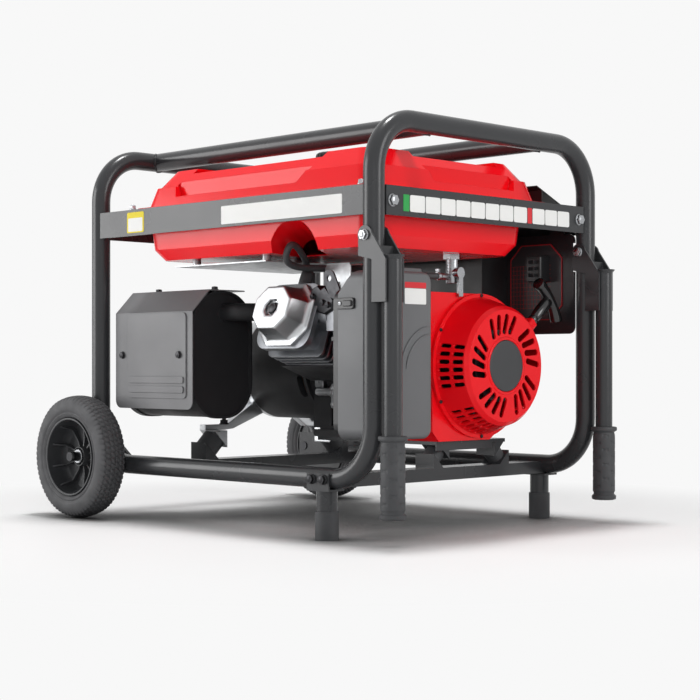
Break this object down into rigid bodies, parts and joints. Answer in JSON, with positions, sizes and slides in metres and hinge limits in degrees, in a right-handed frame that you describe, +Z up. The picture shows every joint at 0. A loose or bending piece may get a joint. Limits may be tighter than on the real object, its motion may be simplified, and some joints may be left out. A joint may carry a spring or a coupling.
{
  "type": "portable generator",
  "caption": "Open-frame petrol generator: bent tube frame on wheels and feet, fold-up handles, slant engine with recoil starter, muffler, alternator, fuel tank and side control panel.",
  "frame": {"origin": "on the floor, under the middle of the bounding box", "axes": "+X from the wheel end to the handle end, +Y from the muffler side to the panel side, +Z up"},
  "size_m": [0.8286, 0.652, 0.642],
  "materials": {
    "frame_paint": "semi-gloss dark grey powder coat",
    "red_paint": "gloss red",
    "black_paint": "satin black",
    "shield_grey": "satin dark grey",
    "black_alloy": "cast, painted satin black",
    "cast_aluminium": "cast, blasted",
    "zinc_steel": "bright zinc plate",
    "machined_steel": "machined",
    "electrical_steel": "varnished laminations and windings",
    "flywheel_iron": "cast",
    "rubber_black": "matte",
    "tyre_rubber": "matte",
    "rim_plastic": "dark grey moulded",
    "grey_plastic": "dark grey, fine grain",
    "black_plastic": "black, fine grain",
    "rope_nylon": "braided nylon",
    "filter_foam": "oiled foam and paper"
  },
  "bodies": {
    "frame": {"air_cleaner_base": "black_plastic", "air_cleaner_cover": "grey_plastic", "air_filter_element": "filter_foam", "alternator_adapter": "black_alloy", "alternator_end_cover": "cast_aluminium", "alternator_shell": "black_paint", "axle": "zinc_steel", "base_cross_members": "frame_paint", "bearings": "machined_steel", "carburettor": "cast_aluminium", "crankcase": "black_alloy", "crankcase_cover": "black_alloy", "cylinder_head": "cast_aluminium", "cylinder_shroud": "black_paint", "engine_base_plate": "frame_paint", "fan_cover": "red_paint", "fasteners": "zinc_steel", "foot_caps": "rubber_black", "foot_posts": "frame_paint", "fuel_hose": "rubber_black", "fuel_valve_body": "zinc_steel", "handle_end_hoop": "frame_paint", "ignition_lead": "rubber_black", "muffler": "black_paint", "muffler_shield": "shield_grey", "panel_fascia": "black_plastic", "panel_housing": "black_plastic", "panel_sockets": "black_plastic", "recoil_housing": "red_paint", "rocker_cover": "cast_aluminium", "rubber_mounts": "rubber_black", "spark_plug": "zinc_steel", "starter_rope": "rope_nylon", "stator": "electrical_steel", "tank_heat_shield": "zinc_steel", "tank_lower": "red_paint", "tank_shelf_bars": "frame_paint", "tank_upper": "red_paint", "top_rails": "frame_paint", "wheel_end_hoop": "frame_paint"},
    "left_wheel": {"left_tyre": "tyre_rubber", "left_rim": "rim_plastic"},
    "right_wheel": {"right_tyre": "tyre_rubber", "right_rim": "rim_plastic"},
    "left_fold_handle": {"left_handle": "frame_paint", "left_grip": "rubber_black"},
    "right_fold_handle": {"right_handle": "frame_paint", "right_grip": "rubber_black"},
    "crank_train": {"crankshaft": "machined_steel", "flywheel": "flywheel_iron", "rotor": "electrical_steel"},
    "pull": {"pull_handle": "black_plastic"},
    "pulley": {"recoil_pulley": "black_plastic"},
    "cap_seat": {"cap_gasket": "rubber_black"},
    "cap": {"fuel_cap": "black_plastic"},
    "valve_lever": {"fuel_valve_lever": "zinc_steel"},
    "choke": {"choke_lever": "black_plastic"},
    "dipstick": {"oil_dipstick": "black_plastic"},
    "rocker_switch": {"engine_switch": "black_plastic"},
    "breaker": {"breaker_lever": "black_plastic"}
  },
  "joints": [
    {"name": "left_wheel_spin", "type": "hinge", "parent": "frame", "child": "left_wheel", "pos_m": [-0.30925, -0.3, 0.105], "axis": [0, 1, 0], "continuous": true},
    {"name": "right_wheel_spin", "type": "hinge", "parent": "frame", "child": "right_wheel", "pos_m": [-0.30925, 0.3, 0.105], "axis": [0, 1, 0], "continuous": true},
    {"name": "left_handle_fold", "type": "hinge", "parent": "frame", "child": "left_fold_handle", "pos_m": [0.35475, -0.255, 0.451], "axis": [0, -1, 0], "range_deg": [0, 90]},
    {"name": "right_handle_fold", "type": "hinge", "parent": "frame", "child": "right_fold_handle", "pos_m": [0.35475, 0.255, 0.451], "axis": [0, -1, 0], "range_deg": [0, 90]},
    {"name": "crank_spin", "type": "hinge", "parent": "frame", "child": "crank_train", "pos_m": [0.17275, 0.06, 0.261], "axis": [-1, 0, 0], "continuous": true},
    {"name": "pull_slide", "type": "slide", "parent": "frame", "child": "pull", "axis": [0.8503, -0.08, 0.5202], "range_m": [0, 0.6], "deforming": ["starter_rope"]},
    {"name": "pulley_spin", "type": "hinge", "parent": "frame", "child": "pulley", "pos_m": [0.31975, 0.06, 0.261], "axis": [-1, 0, 0], "range_deg": [0, 633]},
    {"name": "cap_lift", "type": "slide", "parent": "frame", "child": "cap_seat", "axis": [0, 0, 1], "range_m": [0, 0.12]},
    {"name": "cap_turn", "type": "hinge", "parent": "cap_seat", "child": "cap", "pos_m": [0.06675, -0.045, 0.592], "axis": [0, 0, 1], "range_deg": [0, 120]},
    {"name": "valve_turn", "type": "hinge", "parent": "frame", "child": "valve_lever", "pos_m": [0.28675, 0.01, 0.41], "axis": [1, 0, 0], "range_deg": [0, 90]},
    {"name": "choke_turn", "type": "hinge", "parent": "frame", "child": "choke", "pos_m": [0.18275, -0.15322, 0.34851], "axis": [0, 1, 0], "range_deg": [0, 60]},
    {"name": "dipstick_draw", "type": "slide", "parent": "frame", "child": "dipstick", "axis": [0, -0.9397, 0.342], "range_m": [0, 0.06]},
    {"name": "switch_rock", "type": "hinge", "parent": "frame", "child": "rocker_switch", "pos_m": [0.27775, 0.235, 0.427], "axis": [1, 0, 0], "range_deg": [0, 22]},
    {"name": "breaker_throw", "type": "hinge", "parent": "frame", "child": "breaker", "pos_m": [0.12775, 0.235, 0.367], "axis": [1, 0, 0], "range_deg": [0, 40]}
  ],
  "couplings": [
    {"joint": "pulley_spin", "follows": "pull_slide", "rad_per_m": 18.315}
  ]
}
